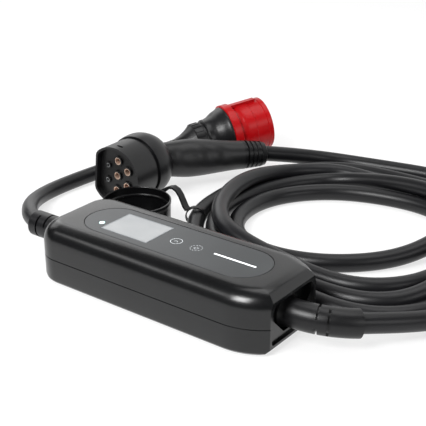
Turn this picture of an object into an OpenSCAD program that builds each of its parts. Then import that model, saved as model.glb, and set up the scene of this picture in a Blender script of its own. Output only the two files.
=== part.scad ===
// Portable charger for an electric vehicle: a control box in the middle of its cable,
// a five-pin mains plug on a short cord and a seven-contact vehicle connector on a long
// coiled cord, with the connector's dust cap taken off and lying beside it.
// Millimetres, +Z up. The origin is under the middle of the control box, on the floor.
// +X runs along the box toward the vehicle cord, +Y from the box toward the coil.

/* [Control box] */
// Length of the control box
box_l = 237; // [200:1:280]
// Width of the control box
box_w = 91.4; // [84:0.2:110]
// Height of the control box
box_h = 52.5; // [48:0.5:70]
// Wall thickness of both shells
wall_t = 3.4; // [2.4:0.1:4]
// Corner radius in plan at the mains end
corner_r = 24.7; // [20:0.1:36]
// Radius of the tapering sides at the vehicle end
nose_r = 52.7; // [48:0.1:60]
// Length of the tapering stretch at the vehicle end
nose_l = 35.8; // [28:0.1:38]
// Radius of the rounded top edge
shoulder_r = 16; // [8:0.5:18]
// Radius of the bottom edge
foot_r = 6; // [1:0.5:8]
// Height of the joint between the shells
seam_z = 23.2; // [18:0.1:28]
// Depth of the recessed face at the vehicle end
end_recess = 2.2; // [1:0.1:4]
// Width of the lip round the recessed face
end_lip = 2.6; // [1.5:0.1:4]
// Depth of the hollow round the vehicle boot, behind the recessed face
hollow_depth = 6; // [2:0.5:7]

/* [Front panel] */
// Length of the front panel
panel_l = 183.7; // [160:0.1:200]
// Width of the front panel
panel_w = 50.9; // [44:0.1:56]
// Thickness of the front panel
panel_t = 1.8; // [1:0.1:2.2]
// Distance of the panel's middle from the box's middle
panel_x = 2.7; // [0:0.1:6]
// Gap all round the panel
panel_gap = 0.6; // [0.2:0.1:1]
// Length of the display window
window_l = 49.8; // [40:0.1:56]
// Width of the display window
window_w = 36.3; // [28:0.1:40]
// Distance of the window's middle from the box's middle
window_x = -38; // [-46:0.5:-30]
// Length of the light line
line_l = 40.4; // [20:0.1:44]
// Width of the light line
line_w = 1.6; // [1:0.1:3]
// Distance of the light line's middle from the box's middle
line_x = 62.8; // [56:0.1:66]
// Diameter of the round status light
dot_d = 5; // [3:0.1:7]

/* [Cords and boots] */
// Diameter of the mains cord
supply_d = 15.6; // [12:0.1:17]
// Diameter of the vehicle cord
charge_d = 16.5; // [12:0.1:17]
// Outer diameter of the boots over the cords
boot_d = 23.3; // [20:0.1:26]
// Diameter of the bell where a boot meets the box
bell_d = 27; // [25:0.1:30]
// Length of the bell
bell_l = 7.5; // [5:0.5:12]
// Length of the straight boot outside the box
supply_boot_l = 42; // [34:0.5:50]
// Bend of the vehicle boot in degrees
boot_bend = 49.6; // [40:0.1:55]
// Bend radius of the vehicle boot
boot_bend_r = 62; // [50:0.5:64]
// Height of the cords' axis where they enter the box
gland_z = 24.2; // [23.5:0.1:26]

/* [Vehicle connector] */
// Outer radius of the connector's shroud
shroud_r = 31.2; // [29:0.1:32]
// Distance of the shroud's flat from its axis
shroud_flat = 24.5; // [22:0.1:26]
// Radius of the shroud's two corners
shroud_corner = 9; // [5:0.5:10]
// Wall thickness of the shroud
shroud_t = 2.3; // [1.6:0.1:2.8]
// Length of the shroud in front of the collar
shroud_l = 31; // [26:0.5:36]
// Depth of the insulator's face behind the shroud's rim
insert_recess = 6.2; // [5.8:0.1:8]
// Distance between neighbouring power contacts
power_pitch = 15.9; // [15:0.1:16.5]
// Bore of a power contact
power_bore = 6; // [5:0.1:6.4]
// Bore of a signal contact
signal_bore = 3; // [2.4:0.1:3.4]
// Largest radius of the collar, on which the connector rests
collar_r = 33.4; // [33:0.1:34.5]
// Length of the collar
collar_l = 27.6; // [22:0.1:32]
// Length of the handle's straight grip
grip_l = 99.5; // [94:0.5:110]
// Length of the ribbed end of the handle
handle_end_l = 26.5; // [24:0.5:36]

/* [Mains plug] */
// Outer radius of the plug's shroud at its rim
plug_rim_r = 29.3; // [28:0.1:30]
// Wall thickness of the plug's shroud
plug_wall = 2.6; // [2:0.1:3.4]
// Radius of the plug's flange, on which the plug rests
flange_r = 32; // [31:0.1:33]
// Thickness of the flange
flange_t = 8.6; // [6:0.1:10]
// Distance from the rim to the middle of the flange
flange_s = 43; // [41:0.5:46]
// Diameter of a line or neutral pin
pin_d = 5; // [4:0.1:6]
// Diameter of the earth pin
earth_d = 6; // [5:0.1:7]
// Radius of the circle of pins
pin_circle_r = 14.5; // [13:0.1:16]
// Length of the pins in front of their carrier
pin_l = 33; // [28:0.5:35]

/* [Dust cap] */
// Outer radius of the cap
cap_r = 32.6; // [32:0.1:32.8]
// Height of the cap
cap_h = 32; // [26:0.5:34]
// Wall thickness of the cap
cap_t = 1.7; // [1.2:0.1:2.4]
// Width of the strap
strap_w = 7; // [5:0.1:8]
// Thickness of the strap
strap_t = 2; // [1.2:0.1:2.6]

/* [Inside the box] */
// Length of the circuit board
board_l = 164; // [150:1:168]
// Width of the circuit board
board_w = 54; // [48:0.5:56]
// Height of the circuit board's underside
board_z = 12; // [10:0.1:13]
// Thickness of the circuit board
board_t = 1.6; // [1.2:0.1:2]
// Shaft diameter of the housing screws
screw_d = 3.4; // [3:0.1:4]
// Head diameter of the housing screws
screw_head_d = 7; // [6:0.1:7.4]

/* [Hidden] */

$fn = 64;
clear = 0.3;
eps = 0.01;
body_fn = 64;
shoulder_steps = 10;
foot_steps = 3;
half_l = box_l / 2;
half_w = box_w / 2;
nose_x = half_l - nose_l;
nose_y = nose_r - half_w;
end_round_x = 2.2;
end_foot_r = 12.5;
boot_bend_x = half_l - end_recess;
boot_root_x = boot_bend_x - hollow_depth;
end_wall_x = boot_root_x - wall_t;
panel_floor_z = box_h - panel_t;
ceiling_z = box_h - wall_t;
floor_in_z = wall_t;

function mix(a, b, u) = a + (b - a) * u;

function arc(x, y, r, from, to, steps) =
  [for (i = [0 : steps]) let (t = mix(from, to, i / steps)) [x + r * cos(t), y + r * sin(t)]];

function outline_points(start, reach, low, top, r_low, r_top) =
  // Half outline with a foot radius and a shoulder radius at its far side.
  concat([[start, low]],
         arc(reach - r_low, low + r_low, r_low, -90, 0, foot_steps),
         arc(reach - r_top, top - r_top, r_top, 0, 90, shoulder_steps),
         [[start, top]]);

module rounded_disc(x, y, reach, inset) {
  translate([x, y, 0])
    rotate_extrude($fn = body_fn)
      polygon(outline_points(0, reach, inset, box_h - inset,
                             max(foot_r - inset, 1), shoulder_r - inset));
}

module box_body(inset, end_x) {
  // The box's convex outside, or the same shape smaller by an inset all round.
  hull()
    intersection() {
      hull() {
        for (side = [-1, 1])
          rounded_disc(corner_r - half_l, side * (half_w - corner_r), corner_r - inset, inset);
        intersection() {
          rounded_disc(nose_x, -nose_y, nose_r - inset, inset);
          rounded_disc(nose_x, nose_y, nose_r - inset, inset);
          translate([nose_x, -half_w, 0]) cube([nose_l, box_w, box_h]);
        }
      }
      translate([0, half_w, 0])
        rotate([90, 0, 0])
          linear_extrude(box_w)
            polygon(outline_points(-half_l, half_l + end_round_x - inset, inset, box_h - inset,
                                   end_foot_r - inset, shoulder_r - inset));
      translate([-half_l, -half_w, 0]) cube([half_l + end_x, box_w, box_h]);
    }
}

module plan(inset) {
  reach = corner_r - inset;
  intersection() {
    union() {
      translate([corner_r - half_l, inset - half_w])
        square([nose_x - corner_r + half_l, box_w - 2 * inset]);
      translate([inset - half_l, corner_r - half_w]) square([reach + eps, box_w - 2 * corner_r]);
      for (side = [-1, 1])
        translate([corner_r - half_l, side * (half_w - corner_r)]) circle(r = reach);
      intersection() {
        translate([nose_x, -nose_y]) circle(r = nose_r - inset);
        translate([nose_x, nose_y]) circle(r = nose_r - inset);
        translate([nose_x - eps, -half_w]) square([nose_l, box_w]);
      }
    }
    translate([-half_l, -half_w]) square([half_l + end_wall_x + wall_t - inset, box_w]);
  }
}

gasket_w = 1.2;
gasket_h = 1.4;
gasket_mid = wall_t / 2;

module gasket_ring(width, low, high) {
  translate([0, 0, low])
    linear_extrude(high - low)
      difference() {
        plan(gasket_mid - width / 2);
        plan(gasket_mid + width / 2);
      }
}

screw_x = half_l - 28.5;
screw_y = half_w - 15.7;
screw_seat_z = 3.2;
screw_head_h = 2.3;
screw_l = 33;
boss_d = screw_head_d + 2.4;

module at_screws() {
  for (end = [-1, 1])
    for (side = [-1, 1])
      translate([end * screw_x, side * screw_y, 0]) children();
}

post_xs = [-board_l / 2 + 6, board_l / 2 - 6];
post_y = board_w / 2 - 5;
post_d = 7;
post_screw_d = 2.5;
board_screw_head_d = 5;
board_screw_head_h = 1.8;
board_screw_l = 6;

module at_posts() {
  for (x = post_xs)
    for (side = [-1, 1])
      translate([x, side * post_y, 0]) children();
}

neck_d = boot_d - 2;

module gland_holes() {
  translate([-half_l - 1, 0, gland_z])
    rotate([0, 90, 0]) cylinder(d = neck_d + 2 * clear, h = wall_t + 3);
  translate([end_wall_x - 1, 0, gland_z])
    rotate([0, 90, 0]) cylinder(d = neck_d + 2 * clear, h = wall_t + 2);
}

end_face_w = 2 * (sqrt(pow(nose_r, 2) - pow(nose_l, 2)) - nose_y);
end_face_low = 5.4;
end_face_top = box_h - 7.9;

module end_pocket() {
  // The recessed face at the vehicle end, inside its lip.
  reach = end_face_w / 2 - end_lip;
  translate([half_l - end_recess, 0, 0])
    rotate([90, 0, 90])
      linear_extrude(end_recess + 1)
        union() {
          polygon(outline_points(0, reach, end_face_low + end_lip, end_face_top - end_lip, 3, 9));
          mirror([1, 0])
            polygon(outline_points(0, reach, end_face_low + end_lip, end_face_top - end_lip, 3, 9));
        }
}

hollow_low = boot_d / 2 + 0.4;
hollow_shoulder = 6;
hollow_edge = 1.5;
hollow_round = 3;

module boot_hollow() {
  // A hollow round the vehicle boot, wide above its axis and narrow below.
  wide = end_face_w / 2 - end_lip - hollow_edge;
  high = end_face_top - end_lip - hollow_edge - gland_z;
  translate([boot_root_x, 0, gland_z])
    rotate([90, 0, 90])
      linear_extrude(hollow_depth + 1)
        offset(r = hollow_round)
          offset(delta = -hollow_round)
            polygon([[-wide, high], [-wide, hollow_shoulder], [-hollow_low + 2, -hollow_low],
                     [hollow_low - 2, -hollow_low], [wide, hollow_shoulder], [wide, high]]);
}

groove_t = 0.6;
groove_h = 0.8;

module seam_groove() {
  // A fine groove all round the outside, where the shells meet.
  difference() {
    translate([-half_l - 1, -half_w - 1, seam_z - 1])
      cube([box_l + 2, box_w + 2, groove_h + 1]);
    box_body(groove_t, half_l + 1);
  }
}

module lower_shell() {
  color([0.07, 0.07, 0.075])
    difference() {
      union() {
        difference() {
          intersection() {
            box_body(0, half_l);
            translate([-half_l, -half_w, 0]) cube([box_l, box_w, seam_z]);
          }
          box_body(wall_t, end_wall_x);
        }
        translate([0, 0, floor_in_z - eps])
          at_screws() cylinder(d = boss_d, h = seam_z - floor_in_z + eps);
        translate([0, 0, floor_in_z - eps])
          at_posts() cylinder(d = post_d, h = board_z - floor_in_z + eps);
      }
      gasket_ring(gasket_w + 2 * clear, seam_z - gasket_h, seam_z + 1);
      at_screws() {
        translate([0, 0, -1]) cylinder(d = screw_head_d + 2 * clear, h = screw_seat_z + 1);
        cylinder(d = screw_d + 2 * clear, h = seam_z + 1);
      }
      translate([0, 0, board_z - 8]) at_posts() cylinder(d = post_screw_d + 2 * clear, h = 9);
      gland_holes();
      end_pocket();
      boot_hollow();
    }
}

dot_x = -69.4;
dot_y = -9.6;
module_gap = 4;

module upper_shell() {
  color([0.08, 0.08, 0.085])
    difference() {
      union() {
        difference() {
          intersection() {
            box_body(0, half_l);
            translate([-half_l, -half_w, seam_z]) cube([box_l, box_w, box_h]);
          }
          box_body(wall_t, end_wall_x);
        }
        translate([0, 0, seam_z])
          at_screws() cylinder(d = boss_d, h = ceiling_z - seam_z + 0.5);
      }
      translate([0, 0, seam_z - 1])
        at_screws() cylinder(d = screw_d + 2 * clear, h = screw_seat_z + screw_l - seam_z + 2);
      translate([0, 0, panel_floor_z]) linear_extrude(panel_t + 1) stadium(panel_gap);
      translate([window_x, 0, box_h / 2 + ceiling_z / 2])
        cube([window_l - module_gap, window_w - module_gap, 8], center = true);
      gland_holes();
      end_pocket();
      boot_hollow();
      seam_groove();
    }
}

module stadium(grow) {
  reach = panel_w / 2;
  for (side = [-1, 1])
    translate([panel_x + side * (panel_l / 2 - reach), 0]) circle(r = reach + grow);
  translate([panel_x, 0]) square([panel_l - panel_w, panel_w + 2 * grow], center = true);
}

module shell_gasket() {
  color([0.15, 0.15, 0.15])
    difference() {
      gasket_ring(gasket_w, seam_z - gasket_h, seam_z);
      gland_holes();
    }
}

module housing_screws() {
  color("silver")
    at_screws() {
      translate([0, 0, screw_seat_z - screw_head_h])
        difference() {
          cylinder(d = screw_head_d, h = screw_head_h);
          translate([0, 0, -1]) cylinder(d = screw_d * 0.8, h = 1 + screw_head_h * 0.6, $fn = 6);
        }
      translate([0, 0, screw_seat_z - eps]) cylinder(d = screw_d, h = screw_l);
    }
}

module front_panel() {
  color([0.30, 0.31, 0.32])
    translate([0, 0, panel_floor_z])
      linear_extrude(panel_t)
        difference() {
          stadium(0);
          translate([window_x, 0])
            square([window_l + 2 * clear / 2, window_w + 2 * clear / 2], center = true);
          translate([line_x, 0]) square([line_l + clear, line_w + clear], center = true);
          translate([dot_x, dot_y]) circle(d = dot_d + 2 * clear);
        }
}

module display_window() {
  color([0.75, 0.76, 0.76])
    translate([window_x, 0, panel_floor_z + panel_t / 2])
      cube([window_l, window_w, panel_t], center = true);
}

display_t = 5;

module display_module() {
  color([0.2, 0.3, 0.25])
    translate([window_x, 0, ceiling_z - display_t / 2])
      cube([window_l + 6, window_w + 6, display_t], center = true);
}

module light_line() {
  color("white")
    translate([line_x, 0, panel_floor_z + panel_t / 2])
      cube([line_l, line_w, panel_t], center = true);
}

module status_lens() {
  color([0.5, 0.95, 0.85])
    translate([dot_x, dot_y, panel_floor_z]) cylinder(d = dot_d, h = panel_t);
}

board_top = board_z + board_t;

module circuit_board() {
  color([0.05, 0.35, 0.15])
    difference() {
      translate([-board_l / 2, -board_w / 2, board_z]) cube([board_l, board_w, board_t]);
      translate([0, 0, board_z - 1])
        at_posts() cylinder(d = post_screw_d + 2 * clear, h = board_t + 2);
    }
}

module board_screws() {
  color("silver")
    at_posts() {
      translate([0, 0, board_top]) cylinder(d = board_screw_head_d, h = board_screw_head_h);
      translate([0, 0, board_z - board_screw_l])
        cylinder(d = post_screw_d, h = board_t + board_screw_l + eps);
    }
}

relay_l = 29;
relay_w = 16;
relay_h = 24;

module relays() {
  color([0.1, 0.25, 0.6])
    for (row = [-1, 1])
      translate([28 - relay_l / 2, row * (relay_w / 2 + 2) - relay_w / 2, board_top])
        cube([relay_l, relay_w, relay_h]);
}

sensor_r = 13.2;
sensor_bore_r = 7;

module current_sensor() {
  color([0.6, 0.45, 0.2])
    translate([0, 0, board_top])
      difference() {
        cylinder(r = sensor_r, h = 12);
        translate([0, 0, -1]) cylinder(r = sensor_bore_r, h = 14);
      }
}

module power_supply_block() {
  color([0.12, 0.12, 0.12])
    translate([-44, -14, board_top]) cube([24, 28, 18]);
}

terminal_l = 12;
terminal_w = 34;
terminal_h = 18;
terminal_x = board_l / 2 - 14 - terminal_l;

module terminal_blocks() {
  color([0.1, 0.5, 0.3])
    for (side = [-1, 1])
      translate([side * (terminal_x + terminal_l / 2), 0, board_top + terminal_h / 2])
        difference() {
          cube([terminal_l, terminal_w, terminal_h], center = true);
          for (row = [-2 : 2])
            translate([0, row * 6.4, terminal_h / 2 - 5]) cylinder(d = 3.6, h = 6);
        }
}

module capacitors() {
  color([0.15, 0.15, 0.3])
    for (row = [-1, 1])
      translate([49.5, row * 13, board_top]) cylinder(d = 10, h = 20);
}

lead_d = 3.2;
flange_in_t = 3;
flange_in_d = neck_d + 7;
lead_y = [-2, -1, 0, 1, 2];

module inner_leads(from_x, to_x) {
  for (row = lead_y)
    translate([from_x, row * 4, gland_z])
      rotate([0, 90, 0]) cylinder(d = lead_d, h = to_x - from_x, $fn = 24);
}

module supply_leads() {
  color([0.5, 0.3, 0.15])
    inner_leads(-half_l + wall_t + flange_in_t, -terminal_x - terminal_l);
}

module charge_leads() {
  color([0.5, 0.3, 0.15]) inner_leads(terminal_x + terminal_l, end_wall_x - flange_in_t);
}

slit_w = 2;
slit_depth = 2.4;
slit_bridge_w = 7.6;
// Distances of the slits from the free end of each boot.
supply_slits = [19, 9.5];
charge_slits = [31.3, 23.4];

module boot_bell() {
  // Inner flange, neck through the wall and the bell outside, along +Z from the inner flange.
  rotate_extrude()
    polygon(concat(
      [[0, -wall_t - flange_in_t], [flange_in_d / 2, -wall_t - flange_in_t],
       [flange_in_d / 2, -wall_t], [neck_d / 2, -wall_t], [neck_d / 2, 0], [bell_d / 2, 0]],
      [for (i = [0 : 8]) let (u = i / 8)
        [boot_d / 2 + (bell_d - boot_d) / 2 * pow(1 - u, 2), 1.5 + u * (bell_l - 1.5)]],
      [[0, bell_l]]));
}

module slit(turn) {
  // A slit round the boot, square to +Z, with two bridges left across it, opposite each other.
  rotate([0, 0, turn])
    difference() {
      cylinder(d = boot_d + 2, h = slit_w, center = true);
      cylinder(d = boot_d - 2 * slit_depth, h = slit_w + 1, center = true);
      cube([boot_d + 4, slit_bridge_w, slit_w + 1], center = true);
    }
}

module supply_boot() {
  color([0.06, 0.06, 0.07])
    translate([-half_l, 0, gland_z])
      rotate([0, -90, 0])
        difference() {
          union() {
            boot_bell();
            cylinder(d = boot_d, h = supply_boot_l);
          }
          translate([0, 0, supply_boot_l - supply_slits[0]]) slit(90);
          translate([0, 0, supply_boot_l - supply_slits[1]]) slit(0);
        }
}

boot_tilt = 8.8;

module charge_boot() {
  color([0.06, 0.06, 0.07])
    difference() {
      union() {
        translate([boot_root_x, 0, gland_z])
          rotate([0, 90, 0]) {
            boot_bell();
            cylinder(d = boot_d, h = hollow_depth + eps);
          }
        translate([boot_bend_x, 0, gland_z])
          rotate([-boot_tilt, 0, 0])
            translate([0, boot_bend_r, 0])
              rotate([0, 0, -90])
                rotate_extrude(angle = boot_bend) translate([boot_bend_r, 0]) circle(d = boot_d);
      }
      for (k = [0, 1])
        at_bend(boot_bend - charge_slits[k] / boot_bend_r * 180 / PI) slit(90 - 90 * k);
    }
}

module at_bend(turn) {
  // Carries what stands along +Z to the boot's bent axis at an angle of its bend.
  translate([boot_bend_x, 0, gland_z])
    rotate([-boot_tilt, 0, 0])
      translate([boot_bend_r * sin(turn), boot_bend_r * (1 - cos(turn)), 0])
        rotate([0, 0, turn])
          rotate([0, 90, 0])
            children();
}

boot_end = [
  boot_bend_x + boot_bend_r * sin(boot_bend),
  boot_bend_r * (1 - cos(boot_bend)) * cos(boot_tilt),
  gland_z - boot_bend_r * (1 - cos(boot_bend)) * sin(boot_tilt)
];
boot_dir = [
  cos(boot_bend),
  sin(boot_bend) * cos(boot_tilt),
  -sin(boot_bend) * sin(boot_tilt)
];

// Vehicle connector: its axis runs from the face back to the handle.
conn_x = -164.1;
conn_y = 108.6;
conn_heading = 91.6;
conn_roll = 5.4;
conn_dir = [cos(conn_heading), sin(conn_heading), 0];
conn_face = [conn_x, conn_y, collar_r];
collar_end_s = shroud_l + collar_l;

module at_connector() {
  translate(conn_face)
    rotate([0, 0, conn_heading])
      rotate([0, 90, 0])
        rotate([0, 0, conn_roll])
          children();
}

module d_plate(inset) {
  // Circle with one flat, its two corners rounded tangent to both.
  r = shroud_r - inset;
  flat = shroud_flat - inset;
  corner = shroud_corner - inset;
  cy = flat - corner;
  cx = sqrt(pow(r - corner, 2) - pow(cy, 2));
  difference() {
    circle(r = r);
    polygon([[0, 0], [cx * 3, cy * 3], [-cx * 3, cy * 3]]);
  }
  polygon([[0, 0], [cx, cy], [cx, flat], [-cx, flat], [-cx, cy]]);
  for (side = [-1, 1])
    translate([side * cx, cy]) circle(r = corner);
}

power_spots = [
  [-power_pitch, 0], [0, 0], [power_pitch, 0],
  [-power_pitch / 2, -power_pitch * 0.79], [power_pitch / 2, -power_pitch * 0.79]
];
signal_spots = [[-power_pitch / 2, 12], [power_pitch / 2, 12]];
tower_r = 5.4;
signal_tower_r = 3.6;
tower_h = 1.8;
contact_wall = 0.8;
insert_end_s = shroud_l + 8;
insert_gap = 0.3;
base_t = 3;
neck_inset = 1;
step_w = 2;
slot_s = 6;
slot_l = 3;
slot_w = 7;

module connector_shroud() {
  color([0.09, 0.09, 0.1])
    at_connector()
      difference() {
        union() {
          linear_extrude(shroud_l) d_plate(0);
          translate([0, 0, shroud_l - 1])
            linear_extrude(insert_end_s - shroud_l + base_t + 1) d_plate(neck_inset);
        }
        translate([0, 0, -1]) linear_extrude(shroud_l + 1) d_plate(shroud_t);
        translate([0, 0, -1]) linear_extrude(insert_end_s + 1) d_plate(shroud_t + step_w);
        translate([-shroud_r - 1, -slot_w / 2, slot_s]) cube([shroud_t + 3, slot_w, slot_l]);
      }
}

module contact_spots(spots) {
  for (spot = spots)
    translate([spot[0], spot[1], 0]) children();
}

module connector_insert() {
  color([0.03, 0.03, 0.035])
    at_connector()
      difference() {
        union() {
          translate([0, 0, insert_recess])
            linear_extrude(shroud_l - insert_recess) d_plate(shroud_t + insert_gap);
          translate([0, 0, shroud_l])
            linear_extrude(insert_end_s - shroud_l) d_plate(shroud_t + step_w + insert_gap);
          translate([0, 0, insert_recess - tower_h]) {
            contact_spots(power_spots) cylinder(r = tower_r, h = tower_h + 1);
            contact_spots(signal_spots) cylinder(r = signal_tower_r, h = tower_h + 1);
          }
        }
        contact_spots(power_spots) cylinder(d = contact_seat_d(power_bore), h = insert_end_s + 1);
        contact_spots(signal_spots) cylinder(d = contact_seat_d(signal_bore), h = insert_end_s + 1);
      }
}

function contact_seat_d(bore) = bore + 2 * contact_wall + 2 * 0.15;
contact_front_s = insert_recess - tower_h + 0.6;

module contact(bore) {
  translate([0, 0, contact_front_s])
    difference() {
      cylinder(d = bore + 2 * contact_wall, h = insert_end_s - contact_front_s);
      translate([0, 0, -1]) cylinder(d = bore, h = insert_end_s - contact_front_s - 2);
    }
}

module power_contacts() {
  color([0.75, 0.6, 0.45]) at_connector() contact_spots(power_spots) contact(power_bore);
}

module signal_contacts() {
  color([0.75, 0.7, 0.65]) at_connector() contact_spots(signal_spots) contact(signal_bore);
}

collar_groove = 2.2;

module connector_collar() {
  color([0.09, 0.09, 0.1])
    at_connector()
      difference() {
        translate([0, 0, shroud_l])
          rotate_extrude()
            polygon(concat(
              [[0, base_t], [shroud_r - collar_groove, 0], [shroud_r - collar_groove, 3]],
              [for (i = [0 : 10]) let (u = i / 10)
                [collar_r - 3.2 * pow(2 * u - 0.8, 2) * (u > 0.4 ? 1 : 0.35), 3 + u * (collar_l - 3)]],
              [[0, collar_l]]));
        translate([0, 0, shroud_l - 1])
          linear_extrude(insert_end_s - shroud_l + base_t + 1) d_plate(neck_inset - clear / 2);
      }
}

// Handle: a straight axis that leaves the collar's back at an angle.
handle_heading = 55.4;
handle_pitch = -3.15;
handle_dir = [
  cos(handle_heading) * cos(handle_pitch),
  sin(handle_heading) * cos(handle_pitch),
  sin(handle_pitch)
];
handle_root = conn_face + collar_end_s * conn_dir;

function grip_point(s) = handle_root + s * handle_dir;

function unit(v) = v / norm(v);

function ease(u) = u < 0 ? 0 : u > 1 ? 1 : u * u * (3 - 2 * u);

function bell_curve(x) = exp(-x * x);

scallop_s = [21, 39, 58, 76];
scallop_depth = 1.9;
scallop_turn = 24;

function scallop(s, turn) =
  let (side = bell_curve((turn - scallop_turn) / 34))
  scallop_depth * side * max([for (at = scallop_s) bell_curve((s - at) / 7.5)]);

function grip_r(s) =
  s < 42 ? mix(17, 20, ease(s / 42))
         : mix(20, 15.3, ease((s - 42) / (grip_l - 42) * 0.86 + 0.07) * 1.02);

// One ring of points round a centre, square to a direction; turn 0 is level, to the right.
function ring(centre, along, radii) =
  let (n = len(radii), side = unit(cross(along, [0, 0, 1])), rise = cross(side, along))
  [for (i = [0 : n - 1]) let (t = 360 * i / n)
    centre + radii[i] * (cos(t) * side + sin(t) * rise)];

module skin(rings) {
  // A closed solid through a list of rings of points.
  n = len(rings[0]);
  last = len(rings) - 1;
  polyhedron(
    points = [for (loop = rings) for (p = loop) p],
    faces = concat(
      [[for (i = [n - 1 : -1 : 0]) i]],
      [[for (i = [0 : n - 1]) last * n + i]],
      [for (k = [0 : last - 1]) for (i = [0 : n - 1])
        let (j = (i + 1) % n)
        each [[k * n + i, k * n + j, (k + 1) * n + i], [k * n + j, (k + 1) * n + j, (k + 1) * n + i]]]),
    convexity = 6);
}

grip_sides = 28;
grip_step = 4;
grip_count = round(grip_l / grip_step);

module handle_grip() {
  color([0.10, 0.10, 0.11])
    skin([for (k = [0 : grip_count])
      let (s = k * grip_l / grip_count,
           along = unit(mix(conn_dir, handle_dir, ease(s / 26))))
      ring(grip_point(s), along,
           [for (i = [0 : grip_sides - 1])
             grip_r(s) - scallop(s, 360 * i / grip_sides > 180
                                    ? 360 * i / grip_sides - 360 : 360 * i / grip_sides)])]);
}

module at_handle(s) {
  translate(grip_point(s))
    rotate([0, 0, handle_heading])
      rotate([0, 90 - handle_pitch, 0])
        children();
}

rib_count = 4;
rib_pitch = 5;
rib_depth = 1.4;
cord_seat_r = 11.5;

module handle_end_boot() {
  root_r = grip_r(grip_l);
  color([0.08, 0.08, 0.09])
    at_handle(grip_l)
      difference() {
        rotate_extrude()
          polygon([[0, 0], [root_r, 0], [root_r, 2], [root_r - 1.6, handle_end_l - 6],
                   [cord_seat_r + 0.8, handle_end_l - 1], [cord_seat_r - 0.6, handle_end_l],
                   [0, handle_end_l]]);
        for (k = [0 : rib_count - 1])
          translate([0, 0, 3 + k * rib_pitch])
            rotate_extrude()
              translate([root_r - rib_depth - 1.0, 0]) square([4, rib_pitch * 0.45]);
      }
}

handle_end = grip_point(grip_l + handle_end_l);

// Mains plug: +Z of its own axis points out of the front; distances s run back from the rim.
plug_rim = [-134.6, 326.3, 38.6];
plug_heading = 61.6;
plug_pitch = 8.3;
plug_dir = [
  cos(plug_heading) * cos(plug_pitch),
  sin(plug_heading) * cos(plug_pitch),
  sin(plug_pitch)
];
flange_front_s = flange_s - flange_t / 2;
flange_back_s = flange_s + flange_t / 2;
carrier_front_s = 36;
plug_tail_s = 118;
nut_front_s = 76;
nut_back_s = 87;

module at_plug() {
  translate(plug_rim)
    rotate([0, 0, plug_heading])
      rotate([0, 90 - plug_pitch, 0])
        children();
}

module plug_lathe(points) {
  // Turned piece from [radius, distance behind the rim] pairs.
  rotate_extrude() polygon([for (p = points) [p[0], -p[1]]]);
}

module plug_shroud() {
  inner = plug_rim_r - plug_wall;
  color([0.75, 0.03, 0.05])
    at_plug()
      union() {
        plug_lathe([
          [inner, 0], [plug_rim_r - 0.5, 0], [plug_rim_r, 0.5], [plug_rim_r, 5],
          [plug_rim_r - 0.8, 5.5], [plug_rim_r - 0.8, 19], [plug_rim_r - 0.2, 19.8],
          [plug_rim_r - 0.4, 30], [plug_rim_r - 2, 34], [plug_rim_r - 2, flange_front_s - 0.8],
          [flange_r - 0.8, flange_front_s - 0.8], [flange_r, flange_front_s],
          [flange_r, flange_back_s - 0.8], [flange_r - 0.8, flange_back_s],
          [inner, flange_back_s]]);
        translate([-plug_rim_r - 2.2, -3, -flange_front_s]) cube([3.5, 6, flange_front_s - 8]);
      }
}

module pin_spots(first, last) {
  // Clock positions round the circle of pins; position 0 is the earth pin, at the bottom.
  for (k = [first : last])
    rotate([0, 0, k * 72]) translate([pin_circle_r, 0, 0]) children();
}

module plug_pin_carrier() {
  inner = plug_rim_r - plug_wall - clear;
  color([0.05, 0.05, 0.05])
    at_plug()
      difference() {
        translate([0, 0, -flange_back_s]) cylinder(r = inner, h = flange_back_s - carrier_front_s);
        translate([0, 0, -flange_back_s - 1]) {
          pin_spots(1, 4) cylinder(d = pin_d - 2 * pin_step + 2 * pin_fit, h = 30);
          pin_spots(0, 0) cylinder(d = earth_d - 2 * pin_step + 2 * pin_fit, h = 30);
        }
      }
}

pin_fit = 0.15;
pin_step = 0.7;

module plug_pin(d) {
  // A round-nosed pin on a thinner root; its shoulder rests on the carrier's face.
  root_l = flange_back_s - carrier_front_s;
  translate([0, 0, -flange_back_s]) cylinder(d = d - 2 * pin_step, h = root_l + eps);
  translate([0, 0, -carrier_front_s]) cylinder(d = d, h = pin_l - d / 2);
  translate([0, 0, pin_l - d / 2 - carrier_front_s]) sphere(d = d);
}

module plug_line_pins() {
  color([0.8, 0.8, 0.78]) at_plug() pin_spots(1, 4) plug_pin(pin_d);
}

module plug_earth_pin() {
  color([0.8, 0.8, 0.78]) at_plug() pin_spots(0, 0) plug_pin(earth_d);
}

body_r = 30;
body_neck_r = 22.4;

module plug_body() {
  color([0.05, 0.05, 0.055])
    at_plug()
      plug_lathe([
        [0, flange_back_s], [body_r, flange_back_s], [body_r, nut_front_s - 27],
        [body_r - 1, nut_front_s - 25], [body_r - 3, nut_front_s - 19],
        [body_neck_r + 1.3, nut_front_s - 13], [body_neck_r + 0.2, nut_front_s - 9],
        [body_neck_r, nut_front_s - 8], [body_neck_r, nut_front_s - 4],
        [body_neck_r - 0.8, nut_front_s - 3], [body_neck_r - 3, nut_front_s - 3],
        [body_neck_r - 3, nut_front_s], [0, nut_front_s]]);
}

nut_r = 21;
nut_ribs = 20;

module plug_gland_nut() {
  color([0.05, 0.05, 0.055])
    at_plug()
      difference() {
        plug_lathe([[0, nut_front_s], [nut_r - 0.6, nut_front_s], [nut_r, nut_front_s + 0.8],
                    [nut_r, nut_back_s - 0.8], [nut_r - 0.8, nut_back_s], [0, nut_back_s]]);
        for (k = [0 : nut_ribs - 1])
          rotate([0, 0, k * 360 / nut_ribs])
            translate([nut_r + 0.5, 0, -nut_back_s - 1])
              cylinder(r = 1.1, h = nut_back_s - nut_front_s + 2, $fn = 16);
      }
}

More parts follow.
